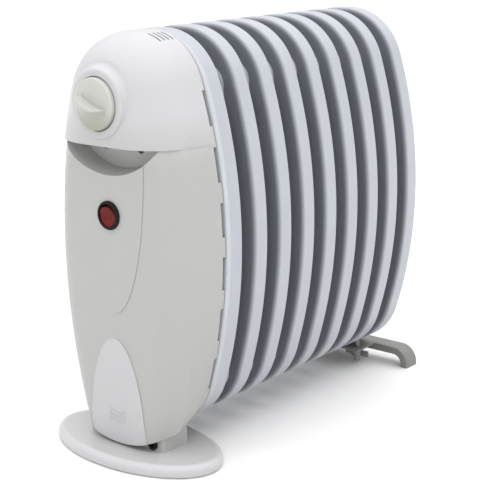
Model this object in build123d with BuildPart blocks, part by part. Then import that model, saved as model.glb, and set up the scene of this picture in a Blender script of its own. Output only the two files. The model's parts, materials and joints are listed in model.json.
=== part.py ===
from build123d import *
from math import radians, tan
import os

os.makedirs("parts", exist_ok=True)

# Oil filled radiator heater, millimetres. X runs across the heater, Y along it from the control
# end (negative) to the rear end (positive), Z up from the floor. Y = 0 is the middle of the length.

# Fins
FIN_COUNT = 9
PITCH = 28.0
FIRST_FIN_Y = -84.0
FIN_HALF_WIDTH = 69.0
FIN_LOW = 17.0
FIN_HIGH = 303.0
FIN_CORNER = 50.0
SIDE_RADIUS = 350.0
TOP_RADIUS = 200.0
BOTTOM_RADIUS = 160.0
RIM_DEPTH = 13.0
BEND_RADIUS = 3.5
SHEET = 1.0
BACK_SHEET_INSET = 4.0
FRONT_RELIEF = 2.5
BACK_RELIEF = 5.0
UPPER_HEADER_Z = 250.0
LOWER_HEADER_Z = 65.0
UPPER_COLLAR_RADIUS = 20.0
LOWER_COLLAR_RADIUS = 23.0
COLLAR_WALL = 1.2
CHANNEL_SPACING = 32.0
CHANNEL_WIDTH = 16.0
HEADER_PAD_WIDTH = 84.0
HEADER_PAD_HEIGHT = 54.0
LAST_FIN_Y = FIRST_FIN_Y + (FIN_COUNT - 1) * PITCH
FACE_Y = FIRST_FIN_Y - RIM_DEPTH / 2

# Control cover
COVER_RIM_Y = -91.5
COVER_HALF_WIDTH = 66.0
COVER_LOW = 15.0
COVER_HIGH = 303.0
COVER_CORNER = 47.0
COVER_WALL = 2.5
BAND_DEPTH = 29.5
FRONT_DEPTH = 45.0
FACET_INSET = 14.0
FRONT_ROUND = 20.0
SHIELD_HALF_WIDTH = 62.5
SHIELD_SIDE_RADIUS = 450.0
SHIELD_MIDDLE_Z = 145.0
SHIELD_LOW = 11.0
SHIELD_LOW_RADIUS = 85.0
SHIELD_TOP = 250.0
SHIELD_CORNER = 10.0
PANEL_HALF_WIDTH = 34.0
PANEL_LOW = 108.0
PANEL_RAISE = 0.5
HOOD_DEPTH = 52.0
HOOD_ROUND = 40.0
HOOD_TAPER = 7.6
HOOD_SIDE_RADIUS = 3000.0
LIP_HALF_WIDTH = 59.2
LENS_HEIGHT = 340.0
LIP_Z = 228.0
PASSAGE_HALF_WIDTH = 46.0
CREASE_Y = COVER_RIM_Y - BAND_DEPTH
FRONT_Y = COVER_RIM_Y - FRONT_DEPTH
HOOD_Y = COVER_RIM_Y - HOOD_DEPTH
INNER_HOOD_Y = HOOD_Y + COVER_WALL
RECESS_HALF_WIDTH = 49.0
RECESS_BACK_HALF_WIDTH = 40.0
RECESS_LOW = 206.0
RECESS_BACK_LOW = 210.0
RECESS_BACK_Y = -121.0
NOTCH_LENGTH = 24.0
NOTCH_DEPTH = 2.5
NOTCH_PITCH = 38.0
NOTCH_COUNT = 6
NOTCH_FIRST_Z = 62.0
VENT_COUNT = 4
VENT_PITCH = 4.2
VENT_WIDTH = 1.6
VENT_LENGTH = 12.0
VENT_X = 20.0
VENT_FIRST_Y = -94.8
PAD_HALF_WIDTH = 27.0
PAD_HEIGHT = 79.0
PAD_RAISE = 0.8
RIB_RADIUS = 16.0
RIB_RAISE = 0.6
RIB_COUNT = 3
RIB_PITCH = 3.4
RIB_LOW_Z = 27.0

# Knob and thermostat
KNOB_Z = 257.0
KNOB_RADIUS = 18.0
KNOB_REAR_Y = -143.2
KNOB_FRONT_Y = -148.5
KNOB_HOLLOW = 15.0
KNOB_HUB = 5.0
GRIP_LEFT = 11.5
GRIP_RIGHT = 13.5
GRIP_BOW = 1.8
GRIP_BACK = 1.8
GRIP_FRONT_Y = -156.0
GRIP_DRAFT = 0.8
GRIP_ANGLE = 12.0
RING_RADIUS = 24.0
RING_FOOT_RADIUS = 28.0
BOSS_FOOT = 5.0
RING_FRONT_Y = -145.0
DISH_RADIUS = 18.8
DISH_Y = -142.6
SHAFT_RADIUS = 3.0
SHAFT_FLAT = 1.2
SHAFT_CLEARANCE = 0.06
BUSHING_RADIUS = 5.0
THERMOSTAT_FRONT_Y = -139.0
THERMOSTAT_REAR_Y = -125.0
THERMOSTAT_RADIUS = 13.0

# Rocker switch
SWITCH_Z = 179.0
BEZEL_RADIUS = 10.2
BEZEL_HEIGHT = 2.0
BARREL_RADIUS = 9.4
WINDOW_RADIUS = 8.1
SWITCH_REAR_Y = -118.0
PIVOT_Y = -133.5
ROCKER_RADIUS = 7.1
ROCKER_PIN = 1.0
ROCKER_TILT = 7.0

# Chassis plate
PLATE_FRONT_Y = -97.0
PLATE_INSET = 6.0
STUD_X = 50.0
STUD_LEVELS = (130.0, 200.0)
COVER_SCREW_X = 17.0
COVER_SCREW_Z = 225.0
SCREW_SINK = 4.0
TAB_Z = 32.0
TAB_FRONT_Y = -124.0
TAB_HALF_WIDTH = 34.0

# Front foot
FOOT_LENGTH = 148.0
FOOT_DEPTH = 82.0
FOOT_Y = -117.0
FOOT_HEIGHT = 9.0
NECK_HALF_WIDTH = 36.8
NECK_FRONT_Y = -129.0
NECK_REAR_Y = -103.0
NECK_WALL = 3.0
FOOT_SCREW_X = 24.0
FOOT_SCREW_Y = -114.0
GLAND_X = 27.0
GLAND_Z = 13.8
GLAND_RADIUS = 4.0
GLAND_LENGTH = 2.2

# Rear foot
BAR_Y = 150.0
BAR_WIDTH = 16.0
BAR_TOP = 16.5
BAR_HALF_LENGTH = 66.0
BAR_BEND = 14.0
BAR_HEIGHT = 6.0
BAR_SHEET = 1.5
BOLT_Y = LAST_FIN_Y - PITCH / 2
BOLT_ROD = 2.5
BOLT_LEG_X = LOWER_COLLAR_RADIUS + 0.2 + BOLT_ROD


def at_y(y):
    """Upright plane across the heater; its normal faces the control end."""
    return Plane.XZ.offset(-y)


def barrel(y, half_width, low, high, corner, low_radius, inset=0.0):
    """Barrel-sided outline: bowed sides, crowned ends, rounded corners, drawn in by inset."""
    side = SIDE_RADIUS - inset
    middle = (low + high) / 2
    with BuildSketch(at_y(y)) as outline:
        with Locations(Location((half_width - SIDE_RADIUS, middle, 0), (0, 0, 180))):
            Circle(side)
        with Locations((SIDE_RADIUS - half_width, middle)):
            Circle(side, mode=Mode.INTERSECT)
        with Locations((0, high - TOP_RADIUS)):
            Circle(TOP_RADIUS - inset, mode=Mode.INTERSECT)
        with Locations((0, low + low_radius)):
            Circle(low_radius - inset, mode=Mode.INTERSECT)
        fillet(outline.vertices(), corner - inset)
    return outline.sketch


def fin_outline(y, inset=0.0):
    return barrel(y, FIN_HALF_WIDTH, FIN_LOW, FIN_HIGH, FIN_CORNER, TOP_RADIUS, inset)


def cover_outline(y, inset=0.0):
    return barrel(y, COVER_HALF_WIDTH, COVER_LOW, COVER_HIGH, COVER_CORNER, BOTTOM_RADIUS, inset)


def channels(y, inset=0.0):
    """Pressed oil channels: two header pads joined by three upright channels."""
    with BuildSketch(at_y(y)) as relief:
        with Locations((0, UPPER_HEADER_Z), (0, LOWER_HEADER_Z)):
            RectangleRounded(HEADER_PAD_WIDTH - 2 * inset, HEADER_PAD_HEIGHT - 2 * inset, 14 - inset)
        with Locations((0, (UPPER_HEADER_Z + LOWER_HEADER_Z) / 2)):
            with GridLocations(CHANNEL_SPACING, 0, 3, 1):
                Rectangle(CHANNEL_WIDTH - 2 * inset, UPPER_HEADER_Z - LOWER_HEADER_Z)
    return relief.sketch


# Front sheet of a fin: closed face towards the control end, rim turned towards the rear
front_y = FACE_Y
with BuildPart() as front_sheet:
    extrude(fin_outline(front_y + RIM_DEPTH), amount=RIM_DEPTH)
    fillet(front_sheet.faces().sort_by(Axis.Y)[0].edges(), BEND_RADIUS)
    offset(amount=-SHEET, openings=front_sheet.faces().sort_by(Axis.Y)[-1])
    extrude(channels(front_y), amount=FRONT_RELIEF)
    extrude(channels(front_y + SHEET, SHEET), amount=FRONT_RELIEF, mode=Mode.SUBTRACT)

# Back sheet: flat plate welded behind the face, its channels pressed towards the rear
back_y = FACE_Y + 2 * SHEET
with BuildPart() as back_sheet:
    extrude(fin_outline(back_y, BACK_SHEET_INSET), amount=SHEET)
    extrude(channels(back_y + BACK_RELIEF), amount=BACK_RELIEF)
    extrude(channels(back_y + BACK_RELIEF - SHEET, SHEET), amount=BACK_RELIEF, mode=Mode.SUBTRACT)

COLLARS = ((UPPER_HEADER_Z, UPPER_COLLAR_RADIUS), (LOWER_HEADER_Z, LOWER_COLLAR_RADIUS))
seam_y = FIRST_FIN_Y + PITCH / 2

with BuildPart() as collared_back_sheet:
    add(back_sheet.part)
    for header_z, collar_radius in COLLARS:
        with BuildSketch(at_y(seam_y)):
            with Locations((0, header_z)):
                Circle(collar_radius)
        extrude(amount=seam_y - back_y - BACK_RELIEF)
        with BuildSketch(at_y(seam_y)):
            with Locations((0, header_z)):
                Circle(collar_radius - COLLAR_WALL)
        extrude(amount=seam_y - back_y - BACK_RELIEF + SHEET, mode=Mode.SUBTRACT)

with BuildPart() as collared_front_sheet:
    add(front_sheet.part)
    for header_z, collar_radius in COLLARS:
        with BuildSketch(at_y(front_y)):
            with Locations((0, header_z)):
                Circle(collar_radius)
                Circle(collar_radius - COLLAR_WALL, mode=Mode.SUBTRACT)
        extrude(amount=PITCH / 2 - RIM_DEPTH / 2)
        with BuildSketch(at_y(front_y + SHEET)):
            with Locations((0, header_z)):
                Circle(collar_radius - COLLAR_WALL)
        extrude(amount=PITCH / 2, mode=Mode.SUBTRACT)

for index in range(FIN_COUNT - 1):
    with BuildPart() as fin_back:
        with Locations((0, index * PITCH, 0)):
            add(collared_back_sheet.part)
    fin_back.part.label = f"fin_{index + 1}_back"
    export_step(fin_back.part, f"parts/fin_{index + 1}_back.step")
    with BuildPart() as fin_front:
        with Locations((0, (index + 1) * PITCH, 0)):
            add(collared_front_sheet.part)
    fin_front.part.label = f"fin_{index + 2}_front"
    export_step(fin_front.part, f"parts/fin_{index + 2}_front.step")

# First fin's front sheet carries only the boss of the heating element
BOSS_Y = -99.0
with BuildPart() as fin_1_front:
    add(front_sheet.part)
    with BuildSketch(at_y(front_y)):
        with Locations((0, LOWER_HEADER_Z)):
            Circle(LOWER_COLLAR_RADIUS)
            Circle(LOWER_COLLAR_RADIUS - COLLAR_WALL, mode=Mode.SUBTRACT)
    extrude(amount=front_y - BOSS_Y)
    with BuildSketch(at_y(front_y + SHEET)):
        with Locations((0, LOWER_HEADER_Z)):
            Circle(LOWER_COLLAR_RADIUS - COLLAR_WALL)
    extrude(amount=front_y + SHEET - BOSS_Y, mode=Mode.SUBTRACT)
fin_1_front.part.label = "fin_1_front"
export_step(fin_1_front.part, "parts/fin_1_front.step")

# Last fin's back sheet is closed but for the oil filling hole
FILLER_RADIUS = 5.0
FILLER_HEX = 7.0
last_back_y = LAST_FIN_Y - RIM_DEPTH / 2 + 2 * SHEET + BACK_RELIEF
with BuildPart() as fin_9_back:
    with Locations((0, (FIN_COUNT - 1) * PITCH, 0)):
        add(back_sheet.part)
    with BuildSketch(at_y(last_back_y)):
        with Locations((0, UPPER_HEADER_Z)):
            Circle(FILLER_RADIUS)
    extrude(amount=SHEET, mode=Mode.SUBTRACT)
fin_9_back.part.label = "fin_9_back"
export_step(fin_9_back.part, "parts/fin_9_back.step")

with BuildPart() as filler_plug:
    with BuildSketch(at_y(last_back_y + 4)):
        with Locations((0, UPPER_HEADER_Z)):
            RegularPolygon(FILLER_HEX, 6)
    extrude(amount=4)
    with BuildSketch(at_y(last_back_y)):
        with Locations((0, UPPER_HEADER_Z)):
            Circle(FILLER_RADIUS - 0.05)
    extrude(amount=2 * SHEET)
filler_plug.part.label = "filler_plug"
export_step(filler_plug.part, "parts/filler_plug.step")

# Heating element: plug, gasket, hairpin tube and its two terminals
GASKET = 2.0
PLUG_FLANGE = 2.5
PLUG_HEAD = 6.0
HAIRPIN_HALF = 9.0
HAIRPIN_END_Y = 116.0
TUBE_RADIUS = 4.0
PIN_RADIUS = 1.6
PIN_LENGTH = 10.0
plug_inner = LOWER_COLLAR_RADIUS - COLLAR_WALL - 0.05
plug_seat_y = BOSS_Y - GASKET
plug_head_y = plug_seat_y - PLUG_FLANGE - PLUG_HEAD
plug_end_y = BOSS_Y + 10
with BuildPart() as element_gasket:
    with BuildSketch(at_y(BOSS_Y)):
        with Locations((0, LOWER_HEADER_Z)):
            Circle(LOWER_COLLAR_RADIUS)
            Circle(plug_inner, mode=Mode.SUBTRACT)
    extrude(amount=GASKET)
element_gasket.part.label = "element_gasket"
export_step(element_gasket.part, "parts/element_gasket.step")

with BuildPart() as element_plug:
    with BuildSketch(at_y(plug_end_y)):
        with Locations((0, LOWER_HEADER_Z)):
            Circle(plug_inner)
    extrude(amount=plug_end_y - plug_seat_y)
    with BuildSketch(at_y(plug_seat_y)):
        with Locations((0, LOWER_HEADER_Z)):
            Circle(LOWER_COLLAR_RADIUS)
    extrude(amount=PLUG_FLANGE)
    with BuildSketch(at_y(plug_seat_y - PLUG_FLANGE)):
        with Locations((0, LOWER_HEADER_Z)):
            RegularPolygon(20, 6)
    extrude(amount=PLUG_HEAD)
    chamfer(element_plug.faces().sort_by(Axis.Y)[0].edges(), 1)
element_plug.part.label = "element_plug"
export_step(element_plug.part, "parts/element_plug.step")

with BuildPart() as element_tube:
    with BuildLine() as hairpin:
        lower_leg = Line(
            (0, plug_end_y, LOWER_HEADER_Z - HAIRPIN_HALF),
            (0, HAIRPIN_END_Y, LOWER_HEADER_Z - HAIRPIN_HALF),
        )
        ThreePointArc(
            lower_leg @ 1,
            (0, HAIRPIN_END_Y + HAIRPIN_HALF, LOWER_HEADER_Z),
            (0, HAIRPIN_END_Y, LOWER_HEADER_Z + HAIRPIN_HALF),
        )
        Line(
            (0, HAIRPIN_END_Y, LOWER_HEADER_Z + HAIRPIN_HALF),
            (0, plug_end_y, LOWER_HEADER_Z + HAIRPIN_HALF),
        )
    with BuildSketch(Plane(origin=hairpin.line @ 0, z_dir=hairpin.line % 0)):
        Circle(TUBE_RADIUS)
    sweep(path=hairpin.line)
element_tube.part.label = "element_tube"
export_step(element_tube.part, "parts/element_tube.step")

with BuildPart() as element_pins:
    with BuildSketch(at_y(plug_head_y)):
        with Locations((0, LOWER_HEADER_Z - HAIRPIN_HALF), (0, LOWER_HEADER_Z + HAIRPIN_HALF)):
            Circle(PIN_RADIUS)
    extrude(amount=PIN_LENGTH)
element_pins.part.label = "element_pins"
export_step(element_pins.part, "parts/element_pins.step")

# Chassis plate with its foot tab
with BuildPart() as back_plate:
    extrude(cover_outline(PLATE_FRONT_Y + SHEET, PLATE_INSET), amount=SHEET)
    with BuildSketch(at_y(PLATE_FRONT_Y + SHEET)):
        with Locations((0, LOWER_HEADER_Z)):
            Circle(LOWER_COLLAR_RADIUS + 1.5)
        for stud_z in STUD_LEVELS:
            with Locations((-STUD_X, stud_z), (STUD_X, stud_z)):
                Circle(2.2)
        with Locations((-COVER_SCREW_X, COVER_SCREW_Z), (COVER_SCREW_X, COVER_SCREW_Z)):
            Circle(1.5)
    extrude(amount=SHEET, mode=Mode.SUBTRACT)
    with BuildSketch(Plane.XY.offset(TAB_Z)):
        with Locations((0, (PLATE_FRONT_Y + SHEET + TAB_FRONT_Y) / 2)):
            Rectangle(2 * TAB_HALF_WIDTH, PLATE_FRONT_Y + SHEET - TAB_FRONT_Y)
        with Locations((-FOOT_SCREW_X, FOOT_SCREW_Y), (FOOT_SCREW_X, FOOT_SCREW_Y)):
            Circle(2.2, mode=Mode.SUBTRACT)
    extrude(amount=SHEET)
back_plate.part.label = "back_plate"
export_step(back_plate.part, "parts/back_plate.step")

with BuildPart() as plate_studs:
    for stud_z in STUD_LEVELS:
        with BuildSketch(at_y(FACE_Y)):
            with Locations((-STUD_X, stud_z), (STUD_X, stud_z)):
                Circle(2)
        extrude(amount=11)
plate_studs.part.label = "plate_studs"
export_step(plate_studs.part, "parts/plate_studs.step")

with BuildPart() as plate_nuts:
    for stud_z in STUD_LEVELS:
        with BuildSketch(at_y(PLATE_FRONT_Y)):
            with Locations((-STUD_X, stud_z), (STUD_X, stud_z)):
                RegularPolygon(4, 6)
                Circle(2, mode=Mode.SUBTRACT)
        extrude(amount=3)
plate_nuts.part.label = "plate_nuts"
export_step(plate_nuts.part, "parts/plate_nuts.step")


# Cover: side band flaring out to the rim, soft-edged front block, and the deeper hood above the lip
def lens_outline(y, half_width, radius, middle_z, inset):
    """Two bowed sides, cut square well above the lip and well below the cover."""
    with BuildSketch(at_y(y)) as outline:
        with Locations((half_width - radius, middle_z)):
            Circle(radius - inset)
        with Locations((radius - half_width, middle_z)):
            Circle(radius - inset, mode=Mode.INTERSECT)
        with Locations((0, middle_z)):
            Rectangle(3 * half_width, LENS_HEIGHT, mode=Mode.INTERSECT)
    return outline.sketch


def shield_outline(y, inset):
    """Bowed sides, crowned bottom edge and a square top hidden under the hood."""
    low_centre_z = SHIELD_LOW + SHIELD_LOW_RADIUS
    with BuildSketch(at_y(y)) as bottom_edge:
        with Locations((0, low_centre_z)):
            Circle(SHIELD_LOW_RADIUS - inset)
        with Locations((0, (low_centre_z + SHIELD_TOP - inset) / 2)):
            Rectangle(2 * (SHIELD_LOW_RADIUS - inset), SHIELD_TOP - inset - low_centre_z)
        with Locations((0, SHIELD_TOP - inset + SHIELD_LOW_RADIUS)):
            Rectangle(3 * SHIELD_LOW_RADIUS, 2 * SHIELD_LOW_RADIUS, mode=Mode.SUBTRACT)
    with BuildSketch(at_y(y)) as outline:
        add(lens_outline(y, SHIELD_HALF_WIDTH, SHIELD_SIDE_RADIUS, SHIELD_MIDDLE_Z, inset))
        add(bottom_edge.sketch, mode=Mode.INTERSECT)
        fillet(outline.vertices(), SHIELD_CORNER - inset)
    return outline.sketch


def cover_body(skin):
    """Solid shape below the hood, drawn in by skin."""
    with BuildPart() as front_block:
        with BuildSketch(Plane.XY.offset(SHIELD_MIDDLE_Z)) as section:
            with BuildLine():
                Polyline(
                    (-SHIELD_HALF_WIDTH - 8, CREASE_Y + 20),
                    (SHIELD_HALF_WIDTH, CREASE_Y + 20),
                    (SHIELD_HALF_WIDTH, CREASE_Y),
                    (SHIELD_HALF_WIDTH - FACET_INSET, FRONT_Y),
                    (-SHIELD_HALF_WIDTH - 8, FRONT_Y),
                    close=True,
                )
            make_face()
            fillet(section.vertices().group_by(Axis.Y)[0].sort_by(Axis.X)[-1], FRONT_ROUND)
            offset(amount=-skin)
        revolve(axis=Axis((SHIELD_HALF_WIDTH - SHIELD_SIDE_RADIUS, 0, SHIELD_MIDDLE_Z), (0, 1, 0)))
        mirror(about=Plane.YZ, mode=Mode.INTERSECT)
        extrude(shield_outline(CREASE_Y, skin), amount=FRONT_DEPTH, mode=Mode.INTERSECT)
    with BuildPart() as body:
        loft([cover_outline(COVER_RIM_Y, skin).face(), shield_outline(CREASE_Y, skin).face()])
        add(front_block.part)
        split(bisect_by=Plane.XY.offset(LIP_Z - skin), keep=Keep.BOTTOM)
    return body.part


def hood_body(skin):
    """Domed hood above the lip, its sides in line with the band below, drawn in by skin."""
    rear_sides = lens_outline(COVER_RIM_Y, LIP_HALF_WIDTH, HOOD_SIDE_RADIUS, LIP_Z, skin)
    front_sides = lens_outline(HOOD_Y, LIP_HALF_WIDTH, HOOD_SIDE_RADIUS, LIP_Z, HOOD_TAPER + skin)
    with BuildPart() as sides:
        loft([rear_sides.face(), front_sides.face()])
    with BuildPart() as body:
        extrude(cover_outline(COVER_RIM_Y, skin), amount=HOOD_DEPTH - skin)
        fillet(body.faces().sort_by(Axis.Y)[0].edges(), HOOD_ROUND - skin)
        split(bisect_by=Plane.XY.offset(LIP_Z + skin), keep=Keep.TOP)
        add(sides.part, mode=Mode.INTERSECT)
    return body.part


def crescent(y, half_width, low, lip_z):
    """Crescent below the lip, bowed downwards."""
    with BuildSketch(at_y(y)) as shape:
        with BuildLine():
            ThreePointArc((-half_width, lip_z), (0, low), (half_width, lip_z))
            Line((half_width, lip_z), (-half_width, lip_z))
        make_face()
    return shape.sketch


def recess_body(skin):
    """Finger recess under the lip, grown by skin."""
    with BuildPart() as body:
        mouth = crescent(FRONT_Y - 6, RECESS_HALF_WIDTH + skin, RECESS_LOW - skin, LIP_Z + skin)
        back_half_width = RECESS_BACK_HALF_WIDTH + skin
        back = crescent(RECESS_BACK_Y + skin, back_half_width, RECESS_BACK_LOW - skin, LIP_Z + skin)
        loft([mouth.face(), back.face()])
    return body.part


lower_outer = cover_body(0)
lower_inner = cover_body(COVER_WALL)
hood_outer = hood_body(0)
hood_inner = hood_body(COVER_WALL)
recess_outer = recess_body(COVER_WALL)
recess_inner = recess_body(0)

with BuildPart() as arch_pad:
    with BuildSketch(at_y(FRONT_Y + 12)):
        with Locations((0, SHIELD_LOW)):
            Ellipse(PAD_HALF_WIDTH, PAD_HEIGHT)
        with Locations((0, SHIELD_LOW - PAD_HEIGHT / 2)):
            Rectangle(2 * PAD_HALF_WIDTH, PAD_HEIGHT, mode=Mode.SUBTRACT)
    extrude(amount=20)
    add(lower_outer.moved(Location((0, -PAD_RAISE, 0))), mode=Mode.INTERSECT)

with BuildPart() as shield_panel:
    with BuildSketch(at_y(FRONT_Y + 12)):
        with Locations((0, LIP_Z)):
            Ellipse(PANEL_HALF_WIDTH, LIP_Z - PANEL_LOW)
    extrude(amount=20)
    add(lower_outer.moved(Location((0, -PANEL_RAISE, 0))), mode=Mode.INTERSECT)

with BuildPart() as ribs:
    for rib in range(RIB_COUNT):
        with BuildSketch(at_y(FRONT_Y + 14)):
            with BuildLine():
                CenterArc((0, RIB_LOW_Z + rib * RIB_PITCH + RIB_RADIUS), RIB_RADIUS, 243, 54)
                offset(amount=0.5, side=Side.BOTH)
            make_face()
        extrude(amount=30)
    add(lower_outer.moved(Location((0, -PAD_RAISE - RIB_RAISE, 0))), mode=Mode.INTERSECT)
    add(lower_inner, mode=Mode.SUBTRACT)

with BuildPart() as recess_wall:
    add(recess_outer)
    add(lower_outer, mode=Mode.INTERSECT)

boss_depth = HOOD_Y + BOSS_FOOT - RING_FRONT_Y
with BuildPart() as knob_boss:
    with BuildSketch(Plane.YZ):
        with BuildLine():
            front_edge = Line((RING_FRONT_Y, KNOB_Z), (RING_FRONT_Y, KNOB_Z + RING_RADIUS - 1))
            rounded_edge = Line(front_edge @ 1, (RING_FRONT_Y + 1, KNOB_Z + RING_RADIUS))
            Spline(
                rounded_edge @ 1,
                (RING_FRONT_Y + boss_depth, KNOB_Z + RING_FOOT_RADIUS),
                tangents=((1, 0.15), (0.5, 1)),
            )
            Polyline(
                (RING_FRONT_Y + boss_depth, KNOB_Z + RING_FOOT_RADIUS),
                (RING_FRONT_Y + boss_depth, KNOB_Z),
                front_edge @ 0,
            )
        make_face()
    revolve(axis=Axis((0, 0, KNOB_Z), (0, 1, 0)))
    add(hood_inner, mode=Mode.SUBTRACT)

with BuildPart() as front_cover:
    add(lower_outer)
    add(hood_outer)
    add(arch_pad.part)
    add(shield_panel.part)
    add(lower_inner, mode=Mode.SUBTRACT)
    add(hood_inner, mode=Mode.SUBTRACT)
    add(recess_wall.part)
    add(recess_inner, mode=Mode.SUBTRACT)
    # passage for the leads behind the recess
    passage_front_y = RECESS_BACK_Y + 2 * COVER_WALL
    with BuildSketch(Plane.XY.offset(LIP_Z - COVER_WALL - 1)):
        with Locations((0, (passage_front_y + COVER_RIM_Y) / 2)):
            Rectangle(2 * PASSAGE_HALF_WIDTH, COVER_RIM_Y - passage_front_y)
        with Locations((0, (PLATE_FRONT_Y - 1 + COVER_RIM_Y) / 2)):
            Rectangle(2 * PASSAGE_HALF_WIDTH + 16, COVER_RIM_Y - PLATE_FRONT_Y + 1)
    extrude(amount=2 * COVER_WALL + 2, mode=Mode.SUBTRACT)
    # flared knob boss and its dish
    add(knob_boss.part)
    with BuildSketch(at_y(DISH_Y)):
        with Locations((0, KNOB_Z)):
            Circle(DISH_RADIUS)
    extrude(amount=10, mode=Mode.SUBTRACT)
    with BuildSketch(at_y(INNER_HOOD_Y + 1)):
        with Locations((0, KNOB_Z)):
            Circle(BUSHING_RADIUS + 0.1)
    extrude(amount=10, mode=Mode.SUBTRACT)
    # switch hole
    with BuildSketch(at_y(FRONT_Y + 10)):
        with Locations((0, SWITCH_Z)):
            Circle(BARREL_RADIUS + 0.1)
    extrude(amount=20, mode=Mode.SUBTRACT)
    # posts and holes of the two cover screws
    with BuildSketch(at_y(PLATE_FRONT_Y)):
        with Locations((-COVER_SCREW_X, COVER_SCREW_Z), (COVER_SCREW_X, COVER_SCREW_Z)):
            Circle(5)
    extrude(amount=PLATE_FRONT_Y - RECESS_BACK_Y - COVER_WALL)
    with BuildSketch(at_y(PLATE_FRONT_Y)):
        with Locations((-COVER_SCREW_X, COVER_SCREW_Z), (COVER_SCREW_X, COVER_SCREW_Z)):
            Circle(1.6)
    extrude(amount=PLATE_FRONT_Y - RECESS_BACK_Y, mode=Mode.SUBTRACT)
    with BuildSketch(at_y(RECESS_BACK_Y + SCREW_SINK)):
        with Locations((-COVER_SCREW_X, COVER_SCREW_Z), (COVER_SCREW_X, COVER_SCREW_Z)):
            Circle(3.6)
    extrude(amount=SCREW_SINK + 1, mode=Mode.SUBTRACT)
    add(ribs.part)
    # air vents in the hood's top
    for vent in range(VENT_COUNT):
        with BuildSketch(Plane.XY.offset(COVER_HIGH + 2)):
            with Locations((-VENT_X, VENT_FIRST_Y - vent * VENT_PITCH), (VENT_X, VENT_FIRST_Y - vent * VENT_PITCH)):
                SlotOverall(VENT_LENGTH, VENT_WIDTH)
        extrude(amount=-16, mode=Mode.SUBTRACT)
    # notches along the rim
    for notch in range(NOTCH_COUNT):
        with BuildSketch(at_y(COVER_RIM_Y + 1)):
            with Locations((0, NOTCH_FIRST_Z + notch * NOTCH_PITCH)):
                Rectangle(2 * COVER_HALF_WIDTH + 4, NOTCH_LENGTH)
        extrude(amount=NOTCH_DEPTH + 1, mode=Mode.SUBTRACT)
    # opening for the foot's neck
    with BuildSketch(Plane.XY.offset(SHIELD_LOW - 2)):
        with Locations((0, (NECK_FRONT_Y + COVER_RIM_Y) / 2)):
            Rectangle(2 * NECK_HALF_WIDTH + 0.6, COVER_RIM_Y - NECK_FRONT_Y + 0.6)
    extrude(amount=TAB_Z + SHEET + 3 - SHIELD_LOW + 2, mode=Mode.SUBTRACT)
    # relief behind the front wall for the cable gland
    with BuildSketch(at_y(NECK_FRONT_Y + 1)):
        with Locations((GLAND_X, GLAND_Z)):
            Circle(GLAND_RADIUS + 0.5)
    extrude(amount=GLAND_LENGTH + 1.4, mode=Mode.SUBTRACT)
front_cover.part.label = "front_cover"
export_step(front_cover.part, "parts/front_cover.step")

SCREW_HEAD = 1.8
screw_seat_y = RECESS_BACK_Y + SCREW_SINK
with BuildPart() as cover_screws:
    with BuildSketch(at_y(screw_seat_y)):
        with Locations((-COVER_SCREW_X, COVER_SCREW_Z), (COVER_SCREW_X, COVER_SCREW_Z)):
            Circle(3)
    extrude(amount=SCREW_HEAD)
    with BuildSketch(at_y(screw_seat_y)):
        with Locations((-COVER_SCREW_X, COVER_SCREW_Z), (COVER_SCREW_X, COVER_SCREW_Z)):
            Circle(1.5)
    extrude(amount=screw_seat_y - PLATE_FRONT_Y - 2.5)
    with BuildSketch(at_y(screw_seat_y - SCREW_HEAD)):
        with Locations((-COVER_SCREW_X, COVER_SCREW_Z), (COVER_SCREW_X, COVER_SCREW_Z)):
            Rectangle(3, 0.7, rotation=45)
            Rectangle(3, 0.7, rotation=-45)
    extrude(amount=-0.9, mode=Mode.SUBTRACT)
cover_screws.part.label = "cover_screws"
export_step(cover_screws.part, "parts/cover_screws.step")

# Knob: disc with a grip blade, hollow behind, hub on the shaft
knob_plane = Plane(origin=(0, 0, KNOB_Z), x_dir=(1, 0, 0), z_dir=(0, -1, 0)).rotated((0, GRIP_ANGLE, 0))


def grip_blade(draft):
    """Sickle-shaped section of the grip, blunt at its left end and thin at its right end."""
    left = draft - GRIP_LEFT
    right = GRIP_RIGHT - draft
    with BuildSketch() as blade:
        with BuildLine():
            ThreePointArc((left, draft), (0, -GRIP_BOW - GRIP_BACK + draft), (right, draft / 2 - 0.6))
            Line((right, draft / 2 - 0.6), (right, 0.6 - draft / 2))
            ThreePointArc((right, 0.6 - draft / 2), (0, GRIP_BACK - GRIP_BOW - draft), (left, 4 - draft))
            Line((left, 4 - draft), (left, draft))
        make_face()
    return blade.sketch


with BuildPart() as knob:
    with BuildSketch(knob_plane.offset(-KNOB_REAR_Y)):
        Circle(KNOB_RADIUS)
    extrude(amount=KNOB_REAR_Y - KNOB_FRONT_Y)
    fillet(knob.faces().sort_by(Axis.Y)[0].edges(), 1.6)
    with BuildSketch(knob_plane.offset(-KNOB_REAR_Y)):
        Circle(KNOB_HOLLOW)
    extrude(amount=3.5, mode=Mode.SUBTRACT)
    with BuildSketch(knob_plane.offset(-KNOB_REAR_Y + 2)):
        Circle(KNOB_HUB)
    extrude(amount=3)
    with BuildSketch(knob_plane.offset(-KNOB_FRONT_Y - 1)) as grip_foot:
        add(grip_blade(0))
    with BuildSketch(knob_plane.offset(-GRIP_FRONT_Y)) as grip_ridge:
        add(grip_blade(GRIP_DRAFT))
    loft()
    with BuildSketch(knob_plane.offset(-KNOB_REAR_Y)):
        Circle(SHAFT_RADIUS)
        with Locations((0, SHAFT_RADIUS)):
            Rectangle(2 * SHAFT_RADIUS, 2 * SHAFT_FLAT, mode=Mode.SUBTRACT)
    extrude(amount=5, mode=Mode.SUBTRACT)
knob.part.label = "knob"
export_step(knob.part, "parts/knob.step")

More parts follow.
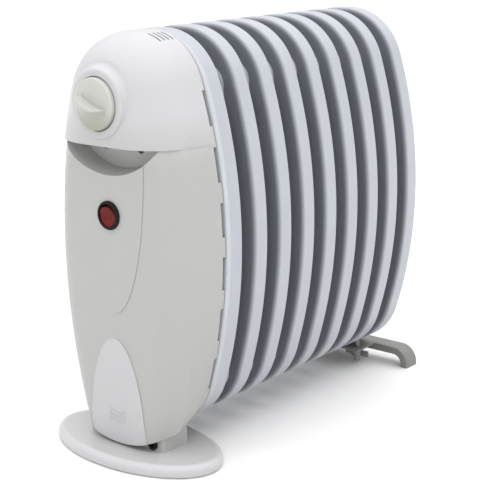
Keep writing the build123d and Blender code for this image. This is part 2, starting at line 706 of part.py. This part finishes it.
with BuildPart() as thermostat_shaft:
    with BuildSketch(knob_plane.offset(-THERMOSTAT_FRONT_Y - 8)):
        Circle(SHAFT_RADIUS)
    extrude(amount=8 + THERMOSTAT_FRONT_Y - KNOB_REAR_Y)
    with BuildSketch(knob_plane.offset(-KNOB_REAR_Y)):
        Circle(SHAFT_RADIUS)
        with Locations((0, SHAFT_RADIUS)):
            Rectangle(2 * SHAFT_RADIUS, 2 * SHAFT_FLAT, mode=Mode.SUBTRACT)
    extrude(amount=5)
thermostat_shaft.part.label = "thermostat_shaft"
export_step(thermostat_shaft.part, "parts/thermostat_shaft.step")

with BuildPart() as thermostat_body:
    with BuildSketch(at_y(THERMOSTAT_REAR_Y)):
        with Locations((0, KNOB_Z)):
            Circle(THERMOSTAT_RADIUS)
    extrude(amount=THERMOSTAT_REAR_Y - THERMOSTAT_FRONT_Y)
    with BuildSketch(at_y(THERMOSTAT_FRONT_Y)):
        with Locations((0, KNOB_Z)):
            Circle(8)
    extrude(amount=THERMOSTAT_FRONT_Y - INNER_HOOD_Y)
    with BuildSketch(at_y(INNER_HOOD_Y)):
        with Locations((0, KNOB_Z)):
            Circle(BUSHING_RADIUS)
    extrude(amount=3.5)
    with BuildSketch(at_y(THERMOSTAT_REAR_Y - 4)):
        with Locations((0, KNOB_Z)):
            Circle(SHAFT_RADIUS + SHAFT_CLEARANCE)
    extrude(amount=20, mode=Mode.SUBTRACT)
    with BuildSketch(at_y(THERMOSTAT_REAR_Y + 8)):
        with Locations((-8, KNOB_Z), (8, KNOB_Z)):
            Rectangle(0.8, 6.3)
    extrude(amount=8)
thermostat_body.part.label = "thermostat_body"
export_step(thermostat_body.part, "parts/thermostat_body.step")

with BuildPart() as thermostat_nut:
    with BuildSketch(at_y(DISH_Y)):
        with Locations((0, KNOB_Z)):
            RegularPolygon(8, 6)
            Circle(BUSHING_RADIUS, mode=Mode.SUBTRACT)
    extrude(amount=1.8)
thermostat_nut.part.label = "thermostat_nut"
export_step(thermostat_nut.part, "parts/thermostat_nut.step")

# Round rocker switch, seated on the raised panel
switch_seat_y = FRONT_Y - PANEL_RAISE
with BuildPart() as switch_body:
    with BuildSketch(at_y(switch_seat_y)):
        with Locations((0, SWITCH_Z)):
            Circle(BEZEL_RADIUS)
    extrude(amount=BEZEL_HEIGHT)
    fillet(switch_body.faces().sort_by(Axis.Y)[0].edges(), 1)
    with BuildSketch(at_y(SWITCH_REAR_Y)):
        with Locations((0, SWITCH_Z)):
            Circle(BARREL_RADIUS)
    extrude(amount=SWITCH_REAR_Y - switch_seat_y)
    with BuildSketch(at_y(PIVOT_Y + 8)):
        with Locations((0, SWITCH_Z)):
            Circle(WINDOW_RADIUS)
    extrude(amount=20, mode=Mode.SUBTRACT)
    with BuildSketch(Plane.YZ):
        with Locations((PIVOT_Y, SWITCH_Z)):
            Circle(ROCKER_PIN + 0.06)
    extrude(amount=BARREL_RADIUS - 0.4, both=True, mode=Mode.SUBTRACT)
switch_body.part.label = "switch_body"
export_step(switch_body.part, "parts/switch_body.step")

with BuildPart() as switch_tabs:
    with BuildSketch(at_y(SWITCH_REAR_Y + 9)):
        with Locations((0, SWITCH_Z - 5), (0, SWITCH_Z), (0, SWITCH_Z + 5)):
            Rectangle(4.8, 0.8)
    extrude(amount=9)
switch_tabs.part.label = "switch_tabs"
export_step(switch_tabs.part, "parts/switch_tabs.step")

rocker_plane = Plane(origin=(0, PIVOT_Y, SWITCH_Z), x_dir=(1, 0, 0), z_dir=(0, -1, 0))
rocker_plane = rocker_plane.rotated((ROCKER_TILT, 0, 0))
rocker_side = Plane(origin=rocker_plane.origin, x_dir=rocker_plane.z_dir, z_dir=(1, 0, 0))
with BuildPart() as rocker:
    with BuildSketch(rocker_side):
        with BuildLine():
            Polyline((-2.5, -3), (-1, -8), (6.2, -8), (4.9, 0), (6.2, 8), (-1, 8), (-2.5, 3), close=True)
        make_face()
    extrude(amount=ROCKER_RADIUS, both=True)
    with BuildSketch(rocker_plane.offset(-4)):
        Circle(ROCKER_RADIUS)
    extrude(amount=12, mode=Mode.INTERSECT)
    with BuildSketch(rocker_side):
        Circle(ROCKER_PIN)
    extrude(amount=BARREL_RADIUS - 0.7, both=True)
rocker.part.label = "rocker"
export_step(rocker.part, "parts/rocker.step")

# Connection block, cut-out and earth screw on the chassis plate
BLOCK = (-25.0, 130.0, 30.0, 16.0, 12.0)
with BuildPart() as terminal_block:
    with BuildSketch(at_y(PLATE_FRONT_Y)):
        with Locations((BLOCK[0], BLOCK[1])):
            Rectangle(BLOCK[2], BLOCK[3])
    extrude(amount=BLOCK[4])
    with BuildSketch(at_y(PLATE_FRONT_Y - BLOCK[4])):
        with Locations((BLOCK[0], BLOCK[1])):
            with GridLocations(10, 0, 3, 1):
                Circle(2.4)
    extrude(amount=-5, mode=Mode.SUBTRACT)
terminal_block.part.label = "terminal_block"
export_step(terminal_block.part, "parts/terminal_block.step")

CUTOUT_X = 26.0
CUTOUT_Z = 130.0
with BuildPart() as thermal_cutout:
    with BuildSketch(at_y(PLATE_FRONT_Y)):
        with Locations((CUTOUT_X, CUTOUT_Z)):
            Circle(9)
    extrude(amount=7)
    with BuildSketch(at_y(PLATE_FRONT_Y - 7)):
        with Locations((CUTOUT_X, CUTOUT_Z - 5), (CUTOUT_X, CUTOUT_Z + 5)):
            Rectangle(4.8, 0.8)
    extrude(amount=8)
thermal_cutout.part.label = "thermal_cutout"
export_step(thermal_cutout.part, "parts/thermal_cutout.step")

EARTH_X = 34.0
EARTH_Z = 92.0
with BuildPart() as earth_screw:
    with BuildSketch(at_y(PLATE_FRONT_Y)):
        with Locations((EARTH_X, EARTH_Z)):
            RegularPolygon(4, 6)
    extrude(amount=4)
earth_screw.part.label = "earth_screw"
export_step(earth_screw.part, "parts/earth_screw.step")

# Internal leads, each a smooth run between two terminals
LEAD_RADIUS = 1.2
LEADS = {
    "lead_switch": ((-25, -109.5, 139), (-27, -111, 150), (-16, -108, 164), (-4, -106, 174)),
    "lead_thermostat": ((4, -106, 184), (20, -110, 198), (26, -112, 222), (20, -114, 240), (10, -114, 250)),
    "lead_cutout": (
        (-10, -114, 250),
        (-24, -112, 240),
        (-36, -109, 205),
        (-34, -106, 160),
        (-8, -103, 152),
        (14, -105, 150),
        (26, -109, 137),
    ),
    "lead_live": ((26, -109, 123), (18, -112, 110), (6, -120, 96), (0, -121, 77)),
    "lead_neutral": ((-25, -110.5, 121), (-28, -116, 100), (-18, -122, 72), (0, -121, 53)),
    "lead_earth": ((-15, -110.5, 121), (0, -110, 113), (20, -108, 106), (34, -103, 97)),
}


def bend_radii(points):
    """Largest tangent arc that the two runs at each inner corner leave room for."""
    radii = []
    for before, corner, after in zip(points, points[1:], points[2:]):
        run_in = Vector(corner) - Vector(before)
        run_out = Vector(after) - Vector(corner)
        half_turn = radians(run_in.get_angle(run_out)) / 2
        radii.append(0.45 * min(run_in.length, run_out.length) / tan(half_turn))
    return radii


for lead_name, points in LEADS.items():
    with BuildPart() as lead:
        with BuildLine() as run:
            FilletPolyline(*points, radius=bend_radii(points))
        with BuildSketch(Plane(origin=run.line @ 0, z_dir=run.line % 0)):
            Circle(LEAD_RADIUS)
        sweep(path=run.line)
    lead.part.label = lead_name
    export_step(lead.part, f"parts/{lead_name}.step")

# Front foot: oval plate and hollow neck in one moulding
with BuildPart() as front_foot:
    with BuildSketch():
        with Locations((0, FOOT_Y)):
            Ellipse(FOOT_LENGTH / 2, FOOT_DEPTH / 2)
    extrude(amount=FOOT_HEIGHT)
    fillet(front_foot.faces().sort_by(Axis.Z)[-1].edges(), 5)
    fillet(front_foot.faces().sort_by(Axis.Z)[0].edges(), 2.5)
    neck_y = (NECK_FRONT_Y + NECK_REAR_Y) / 2
    neck_depth = NECK_REAR_Y - NECK_FRONT_Y
    with BuildSketch(Plane.XY.offset(FOOT_HEIGHT - 1)):
        with Locations((0, neck_y)):
            RectangleRounded(2 * NECK_HALF_WIDTH, neck_depth, 2)
    extrude(amount=TAB_Z - FOOT_HEIGHT + 1)
    with BuildSketch(Plane.XY.offset(FOOT_HEIGHT)):
        with Locations((0, neck_y)):
            Rectangle(2 * (NECK_HALF_WIDTH - NECK_WALL), neck_depth - 2 * NECK_WALL)
        with Locations((-FOOT_SCREW_X, FOOT_SCREW_Y), (FOOT_SCREW_X, FOOT_SCREW_Y)):
            Circle(5, mode=Mode.SUBTRACT)
    extrude(amount=TAB_Z, mode=Mode.SUBTRACT)
    with BuildSketch(Plane.XY.offset(TAB_Z)):
        with Locations((-FOOT_SCREW_X, FOOT_SCREW_Y), (FOOT_SCREW_X, FOOT_SCREW_Y)):
            Circle(1.7)
    extrude(amount=-16, mode=Mode.SUBTRACT)
    with BuildSketch(at_y(NECK_FRONT_Y + NECK_WALL + 1)):
        with Locations((GLAND_X, GLAND_Z)):
            Circle(GLAND_RADIUS - 0.8)
    extrude(amount=8, mode=Mode.SUBTRACT)
front_foot.part.label = "front_foot"
export_step(front_foot.part, "parts/front_foot.step")

with BuildPart() as foot_screws:
    with BuildSketch(Plane.XY.offset(TAB_Z + SHEET)):
        with Locations((-FOOT_SCREW_X, FOOT_SCREW_Y), (FOOT_SCREW_X, FOOT_SCREW_Y)):
            Circle(3.5)
    extrude(amount=2.4)
    with BuildSketch(Plane.XY.offset(TAB_Z + SHEET)):
        with Locations((-FOOT_SCREW_X, FOOT_SCREW_Y), (FOOT_SCREW_X, FOOT_SCREW_Y)):
            Circle(1.65)
    extrude(amount=-14)
foot_screws.part.label = "foot_screws"
export_step(foot_screws.part, "parts/foot_screws.step")

with BuildPart() as cable_gland:
    with BuildSketch(at_y(NECK_FRONT_Y)):
        with Locations((GLAND_X, GLAND_Z)):
            Circle(GLAND_RADIUS)
    extrude(amount=GLAND_LENGTH)
    fillet(cable_gland.faces().sort_by(Axis.Y)[0].edges(), 0.8)
    with BuildSketch(at_y(NECK_FRONT_Y + NECK_WALL + 1.5)):
        with Locations((GLAND_X, GLAND_Z)):
            Circle(GLAND_RADIUS - 0.85)
    extrude(amount=NECK_WALL + 1.5)
    with BuildSketch(at_y(NECK_FRONT_Y + NECK_WALL + 2)):
        with Locations((GLAND_X, GLAND_Z)):
            Circle(GLAND_RADIUS - 1.8)
    extrude(amount=10, mode=Mode.SUBTRACT)
cable_gland.part.label = "cable_gland"
export_step(cable_gland.part, "parts/cable_gland.step")


# Rear foot: pressed channel bar with turned-down ends and a tongue under the last fins
def bar_band(y, outer, inner):
    """Side-on band of the bar between two depths below its top surface."""
    flat = BAR_HALF_LENGTH - BAR_BEND
    centre_z = BAR_TOP - BAR_BEND
    with BuildSketch(at_y(y)) as band:
        with BuildLine():
            edges = []
            for depth in (outer, inner):
                radius = BAR_BEND - depth
                slant = radius * 0.70711
                edges.append((radius, slant))
            (wide, wide_slant), (tight, tight_slant) = edges
            Line((-flat - wide, 0), (-flat - wide, centre_z))
            ThreePointArc((-flat - wide, centre_z), (-flat - wide_slant, centre_z + wide_slant), (-flat, centre_z + wide))
            Line((-flat, centre_z + wide), (flat, centre_z + wide))
            ThreePointArc((flat, centre_z + wide), (flat + wide_slant, centre_z + wide_slant), (flat + wide, centre_z))
            Line((flat + wide, centre_z), (flat + wide, 0))
            Line((flat + wide, 0), (flat + tight, 0))
            Line((flat + tight, 0), (flat + tight, centre_z))
            ThreePointArc((flat + tight, centre_z), (flat + tight_slant, centre_z + tight_slant), (flat, centre_z + tight))
            Line((flat, centre_z + tight), (-flat, centre_z + tight))
            ThreePointArc((-flat, centre_z + tight), (-flat - tight_slant, centre_z + tight_slant), (-flat - tight, centre_z))
            Line((-flat - tight, centre_z), (-flat - tight, 0))
            Line((-flat - tight, 0), (-flat - wide, 0))
        make_face()
    return band.sketch


with BuildPart() as rear_foot_bar:
    extrude(bar_band(BAR_Y + BAR_WIDTH / 2, 0, BAR_HEIGHT), amount=BAR_WIDTH)
    fillet(rear_foot_bar.edges().filter_by(Axis.X).group_by(Axis.Z)[-1], 1)
    channel_y = BAR_Y + BAR_WIDTH / 2 - BAR_SHEET
    extrude(bar_band(channel_y, BAR_SHEET, BAR_HEIGHT + 0.01), amount=BAR_WIDTH - 2 * BAR_SHEET, mode=Mode.SUBTRACT)
    tongue_front_y = BOLT_Y - 9
    tongue_rear_y = BAR_Y - BAR_WIDTH / 2 + 1
    with BuildSketch(Plane.XY.offset(BAR_TOP - BAR_SHEET)):
        with Locations((0, (tongue_front_y + tongue_rear_y) / 2)):
            Rectangle(2 * BOLT_LEG_X + 14, tongue_rear_y - tongue_front_y)
        with Locations((-BOLT_LEG_X, BOLT_Y), (BOLT_LEG_X, BOLT_Y)):
            Circle(BOLT_ROD + 0.3, mode=Mode.SUBTRACT)
    extrude(amount=BAR_SHEET)
rear_foot_bar.part.label = "rear_foot_bar"
export_step(rear_foot_bar.part, "parts/rear_foot_bar.step")

BOLT_END_Z = 4.0
with BuildPart() as rear_bolt:
    with BuildLine() as bow:
        Line((-BOLT_LEG_X, BOLT_Y, BOLT_END_Z), (-BOLT_LEG_X, BOLT_Y, LOWER_HEADER_Z))
        ThreePointArc(
            (-BOLT_LEG_X, BOLT_Y, LOWER_HEADER_Z),
            (0, BOLT_Y, LOWER_HEADER_Z + BOLT_LEG_X),
            (BOLT_LEG_X, BOLT_Y, LOWER_HEADER_Z),
        )
        Line((BOLT_LEG_X, BOLT_Y, LOWER_HEADER_Z), (BOLT_LEG_X, BOLT_Y, BOLT_END_Z))
    with BuildSketch(Plane.XY.offset(BOLT_END_Z)):
        with Locations((-BOLT_LEG_X, BOLT_Y)):
            Circle(BOLT_ROD)
    sweep(path=bow.line)
rear_bolt.part.label = "rear_bolt"
export_step(rear_bolt.part, "parts/rear_bolt.step")

WING_TOP = BAR_TOP - BAR_SHEET
with BuildPart() as wing_nuts:
    with BuildSketch(Plane.XY.offset(WING_TOP)):
        with Locations((-BOLT_LEG_X, BOLT_Y), (BOLT_LEG_X, BOLT_Y)):
            Circle(5)
            Rectangle(22, 2.4)
            Circle(BOLT_ROD, mode=Mode.SUBTRACT)
    extrude(amount=-6)
    with BuildSketch(Plane.XY.offset(WING_TOP)):
        with Locations((-BOLT_LEG_X, BOLT_Y), (BOLT_LEG_X, BOLT_Y)):
            Rectangle(24, 4)
            Circle(5, mode=Mode.SUBTRACT)
    extrude(amount=-1.5, mode=Mode.SUBTRACT)
wing_nuts.part.label = "wing_nuts"
export_step(wing_nuts.part, "parts/wing_nuts.step")
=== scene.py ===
"""Oil filled radiator heater: materials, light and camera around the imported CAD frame."""

import json
import math

import bpy
from mathutils import Matrix, Vector

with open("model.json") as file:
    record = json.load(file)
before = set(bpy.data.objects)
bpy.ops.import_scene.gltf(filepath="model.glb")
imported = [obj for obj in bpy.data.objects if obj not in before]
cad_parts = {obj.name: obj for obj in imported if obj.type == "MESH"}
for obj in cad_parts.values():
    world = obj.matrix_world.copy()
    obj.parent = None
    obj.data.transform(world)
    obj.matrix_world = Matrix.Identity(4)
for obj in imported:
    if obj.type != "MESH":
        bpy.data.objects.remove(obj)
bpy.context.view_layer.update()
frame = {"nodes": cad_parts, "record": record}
nodes = frame["nodes"]

# Camera: orbit about a point on the heater, metres and degrees
CAMERA_TARGET = Vector((-0.0076, 0.0114, 0.1295))
CAMERA_DISTANCE = 0.9994
CAMERA_AZIMUTH = 40.11
CAMERA_ELEVATION = 14.4
CAMERA_ROLL = -0.944
CAMERA_LENS = 95.0
CAMERA_SENSOR = 36.0
CAMERA_CLIP = 0.05

# Studio floor: a flat disc whose edge sweeps up into a low wall, metres
FLAT_RADII = (0.5, 3.0, 6.5)
SWEEP_RADIUS = 2.0
SWEEP_STEPS = 16
ROUND_STEPS = 96
FLOOR_GREY = (0.80, 0.80, 0.80)
FLOOR_ROUGHNESS = 0.9
FLOOR_VARY = 0.003

# Studio light: a sky dim at the horizon and bright overhead, and a soft box on the right
HORIZON_STRENGTH = 0.05
ZENITH_STRENGTH = 2.55
KEY_PLACE = (1.1, -0.6, 1.6)
KEY_AIM = (0, 0, 0.15)
KEY_SIZE = 1.4
KEY_POWER = 3

# Arched pad on the cover, metres, and how sharply its tint ends
PAD_LOW = 0.011
PAD_HEIGHT = 0.079
PAD_HALF_WIDTH = 0.027
PAD_EDGE = (1.03, 0.97)
PAD_SHARE = 0.85

# Y of a face's normal between which painted shading fades in on faces turned to the control end: painted
# shade in the gaps between fins, painted light on fin 1's exposed front strip
FACE_SHADE_RANGE = (-0.35, -0.95)

# Mottling and gloss shared by all surfaces
NOISE_MIDDLE = (0.3, 0.7)
MOTTLE_DETAIL = 4.0
GLOSS_SCALE = 5
GLOSS_DETAIL = 6.0
GLOSS_SPREAD = (0.85, 1.2)
GRAIN_DETAIL = 2.0
GRAIN_STRENGTH = 0.6


# ---------------------------------------------------------------- materials
def noise(tree, where, scale, detail):
    """Noise texture laid out in the piece's own coordinates."""
    texture = tree.nodes.new("ShaderNodeTexNoise")
    texture.inputs["Scale"].default_value = scale
    texture.inputs["Detail"].default_value = detail
    tree.links.new(where, texture.inputs["Vector"])
    return texture.outputs["Fac"]


def remap(tree, value, source, target):
    """Value carried from one range to another."""
    fade = tree.nodes.new("ShaderNodeMapRange")
    fade.inputs["From Min"].default_value, fade.inputs["From Max"].default_value = source
    fade.inputs["To Min"].default_value, fade.inputs["To Max"].default_value = target
    tree.links.new(value, fade.inputs["Value"])
    return fade.outputs["Result"]


def component(tree, vector, axis):
    """One coordinate of a vector."""
    parts = tree.nodes.new("ShaderNodeSeparateXYZ")
    tree.links.new(vector, parts.inputs["Vector"])
    return parts.outputs[axis]


def blend(tree, factor, paint, other):
    """Paint mixed towards another colour by factor."""
    mix = tree.nodes.new("ShaderNodeMix")
    mix.data_type = "RGBA"
    tree.links.new(factor, mix.inputs["Factor"])
    tree.links.new(paint, mix.inputs["A"])
    mix.inputs["B"].default_value = (*other, 1)
    return mix.outputs["Result"]


def pad_reach(tree, where):
    """Distance from the foot of the arched pad, 1 on the pad's outline."""
    arch = tree.nodes.new("ShaderNodeMapping")
    arch.inputs["Location"].default_value = (0, 0, -PAD_LOW / PAD_HEIGHT)
    arch.inputs["Scale"].default_value = (1 / PAD_HALF_WIDTH, 0, 1 / PAD_HEIGHT)
    tree.links.new(where, arch.inputs["Vector"])
    reach = tree.nodes.new("ShaderNodeVectorMath")
    reach.operation = "LENGTH"
    tree.links.new(arch.outputs["Vector"], reach.inputs[0])
    return reach.outputs["Value"]


def surface(name, base, rough, vary=0.03, grain=900.0, grain_depth=0.00002, metallic=0.0, specular=0.5,
            mottle=9.0, low_shade=None, low_shade_range=None, face_shading=None, pad_tint=None):
    """Painted or moulded surface: faint mottling, uneven gloss and a fine grain.

    Painted shade darkens a piece's lower part between the two heights of its range, painted shade
    and light tint the faces turned to the control end, and a tint marks the cover's arched pad.
    """
    material = bpy.data.materials.new(name)
    material.use_nodes = True
    tree = material.node_tree
    shader = tree.nodes["Principled BSDF"]
    shader.inputs["Metallic"].default_value = metallic
    shader.inputs["Specular IOR Level"].default_value = specular
    layout = tree.nodes.new("ShaderNodeTexCoord")
    where = layout.outputs["Object"]

    colour = tree.nodes.new("ShaderNodeValToRGB")
    dark, light = colour.color_ramp.elements
    dark.position, light.position = NOISE_MIDDLE
    dark.color = [c * (1 - vary) for c in base] + [1]
    light.color = [c * (1 + vary) for c in base] + [1]
    tree.links.new(noise(tree, where, mottle, MOTTLE_DETAIL), colour.inputs["Fac"])
    paint = colour.outputs["Color"]
    # painted shade over the lower part of a piece, fading in between two heights
    if low_shade:
        low_shade_mask = remap(tree, component(tree, where, "Z"), low_shade_range, (0, 1))
        paint = blend(tree, low_shade_mask, paint, low_shade)
    if pad_tint:
        inside = remap(tree, pad_reach(tree, where), PAD_EDGE, (0, PAD_SHARE))
        paint = blend(tree, inside, paint, pad_tint)
    # painted shading on the faces turned to the control end
    if face_shading:
        face_shade_mask = remap(tree, component(tree, layout.outputs["Normal"], "Y"), FACE_SHADE_RANGE, (0, 1))
        paint = blend(tree, face_shade_mask, paint, face_shading)
    tree.links.new(paint, shader.inputs["Base Color"])

    glossy, dull = GLOSS_SPREAD
    sheen_noise = noise(tree, where, mottle * GLOSS_SCALE, GLOSS_DETAIL)
    gloss = remap(tree, sheen_noise, NOISE_MIDDLE, (rough * glossy, min(1.0, rough * dull)))
    tree.links.new(gloss, shader.inputs["Roughness"])
    bump = tree.nodes.new("ShaderNodeBump")
    bump.inputs["Strength"].default_value = GRAIN_STRENGTH
    bump.inputs["Distance"].default_value = grain_depth
    tree.links.new(noise(tree, where, grain, GRAIN_DETAIL), bump.inputs["Height"])
    tree.links.new(bump.outputs["Normal"], shader.inputs["Normal"])
    return material


# Heights between which painted shade fades in over a piece's lower part, metres: the cover below the
# hood's lip, the knob's lower half and the foot plate's sides
COVER_LIP_SHADE = (0.25, 0.215)
KNOB_SHADE = (0.255, 0.240)
FOOT_RIM_SHADE = (0.0088, 0.0096)

MOULDED = {"vary": 0.012, "grain": 1500, "grain_depth": 0.00001}
ENAMEL = {"vary": 0.03, "grain": 700, "grain_depth": 0.00003}
STEEL = {"vary": 0.2, "mottle": 60, "metallic": 0.9}
LEAD = {"rough": 0.45, "vary": 0.1}
FIN_GREY = (0.392, 0.408, 0.446)
MATERIALS = {
    # fin faces turned to the control end: painted shade in the gaps between fins; fin 1's front strip gets
    # painted light instead
    "fin_paint": surface("fin_paint", FIN_GREY, 0.42, face_shading=(0.16, 0.17, 0.192), **ENAMEL),
    "fin_front_painted_light": surface("fin_front_painted_light", FIN_GREY, 0.42, face_shading=(0.56, 0.58, 0.61), **ENAMEL),
    "bar_paint": surface("bar_paint", (0.178, 0.176, 0.167), 0.45, vary=0.05),
    "galvanised": surface("galvanised", (0.42, 0.43, 0.45), 0.5, **STEEL),
    "zinc": surface("zinc", (0.22, 0.22, 0.215), 0.4, vary=0.15, mottle=120, metallic=0.9),
    "element_steel": surface("element_steel", (0.30, 0.29, 0.27), 0.5, **STEEL),
    "brass": surface("brass", (0.70, 0.52, 0.22), 0.35, vary=0.1, mottle=80, metallic=1.0),
    "gasket": surface("gasket", (0.03, 0.03, 0.03), 0.8, vary=0.1, mottle=60),
    "ceramic": surface("ceramic", (0.70, 0.66, 0.58), 0.7, vary=0.06, mottle=60),
    # painted shade on the cover below the hood's lip, on the knob's lower half and on the foot plate's
    # sides
    "cover_plastic": surface("cover_plastic", (0.475, 0.475, 0.487), 0.36,
                             low_shade=(0.372, 0.374, 0.362), low_shade_range=COVER_LIP_SHADE,
                             pad_tint=(0.455, 0.455, 0.468), **MOULDED),
    "knob_plastic": surface("knob_plastic", (0.462, 0.466, 0.437), 0.34,
                            low_shade=(0.29, 0.30, 0.245), low_shade_range=KNOB_SHADE, **MOULDED),
    "foot_plastic": surface("foot_plastic", (0.465, 0.465, 0.474), 0.34,
                            low_shade=(0.36, 0.36, 0.35), low_shade_range=FOOT_RIM_SHADE, **MOULDED),
    "black_plastic": surface("black_plastic", (0.010, 0.010, 0.009), 0.6, vary=0.15, specular=0.12,
                             mottle=150),
    "red_plastic": surface("red_plastic", (0.11, 0.010, 0.007), 0.5, vary=0.25, specular=0.12, mottle=250),
    "lead_brown": surface("lead_brown", (0.12, 0.05, 0.03), **LEAD),
    "lead_blue": surface("lead_blue", (0.03, 0.08, 0.30), **LEAD),
    "lead_green": surface("lead_green", (0.14, 0.28, 0.04), **LEAD),
}

slot_of = {part["node"]: part["material_slot"] for part in frame["record"]["subparts"]}
for name, node in nodes.items():
    node.data.materials.clear()
    node.data.materials.append(MATERIALS[slot_of[name]])
# fin 1's front sheet takes the fin paint with painted light on its exposed strip
nodes["fin_1_front"].data.materials[0] = MATERIALS["fin_front_painted_light"]


# ---------------------------------------------------------------- stage, light and camera
def link_object(name, data):
    """New object that holds data, linked to the scene."""
    holder = bpy.data.objects.new(name, data)
    bpy.context.scene.collection.objects.link(holder)
    return holder


def add_area(name, place, aim, size, power):
    """Square soft box turned towards aim."""
    lamp = bpy.data.lights.new(name, "AREA")
    lamp.size = size
    lamp.energy = power
    holder = link_object(name, lamp)
    holder.location = place
    holder.rotation_euler = (Vector(aim) - Vector(place)).to_track_quat("-Z", "Y").to_euler()


def swept_floor():
    """Points and faces of the round floor and its swept edge."""
    *inner_radii, edge_radius = FLAT_RADII
    profile = [(radius, 0.0) for radius in inner_radii]
    for step in range(SWEEP_STEPS + 1):
        bend = math.radians(90) * step / SWEEP_STEPS
        radius = edge_radius + SWEEP_RADIUS * math.sin(bend)
        profile.append((radius, SWEEP_RADIUS * (1 - math.cos(bend))))
    points, faces = [(0.0, 0.0, 0.0)], []
    for radius, height in profile:
        for spoke in range(ROUND_STEPS):
            angle = math.radians(360) * spoke / ROUND_STEPS
            points.append((radius * math.cos(angle), radius * math.sin(angle), height))
    for spoke in range(ROUND_STEPS):
        after = (spoke + 1) % ROUND_STEPS
        faces.append((0, 1 + spoke, 1 + after))
        for ring in range(len(profile) - 1):
            inner, outer = 1 + ring * ROUND_STEPS, 1 + (ring + 1) * ROUND_STEPS
            faces.append((inner + spoke, outer + spoke, outer + after, inner + after))
    return points, faces


floor_points, floor_faces = swept_floor()
floor_mesh = bpy.data.meshes.new("floor")
floor_mesh.from_pydata(floor_points, [], floor_faces)
floor_mesh.shade_smooth()
floor = link_object("floor", floor_mesh)
floor_mesh.materials.append(surface("floor_paper", FLOOR_GREY, FLOOR_ROUGHNESS, vary=FLOOR_VARY))

world = bpy.data.worlds.new("studio")
bpy.context.scene.world = world
world.use_nodes = True
sky = world.node_tree
sky_layout = sky.nodes.new("ShaderNodeTexCoord")
sky_height = component(sky, sky_layout.outputs["Generated"], "Z")
sky_level = remap(sky, sky_height, (0.0, 1.0), (HORIZON_STRENGTH, ZENITH_STRENGTH))
sky.links.new(sky_level, sky.nodes["Background"].inputs["Strength"])
sky.nodes["Background"].inputs["Color"].default_value = (1.0, 1.0, 1.0, 1)

add_area("key", KEY_PLACE, KEY_AIM, KEY_SIZE, KEY_POWER)

camera_data = bpy.data.cameras.new("camera")
camera_data.lens = CAMERA_LENS
camera_data.sensor_width = CAMERA_SENSOR
camera_data.clip_start = CAMERA_CLIP
camera = link_object("camera", camera_data)
azimuth, elevation = math.radians(CAMERA_AZIMUTH), math.radians(CAMERA_ELEVATION)
reach_level = math.cos(elevation)
away = Vector((math.sin(azimuth) * reach_level, -math.cos(azimuth) * reach_level, math.sin(elevation)))
turn = away.to_track_quat("Z", "Y").to_matrix() @ Matrix.Rotation(math.radians(CAMERA_ROLL), 3, "Z")
camera.matrix_world = Matrix.Translation(CAMERA_TARGET + CAMERA_DISTANCE * away) @ turn.to_4x4()
bpy.context.scene.camera = camera

bpy.context.scene.view_settings.view_transform = "Standard"
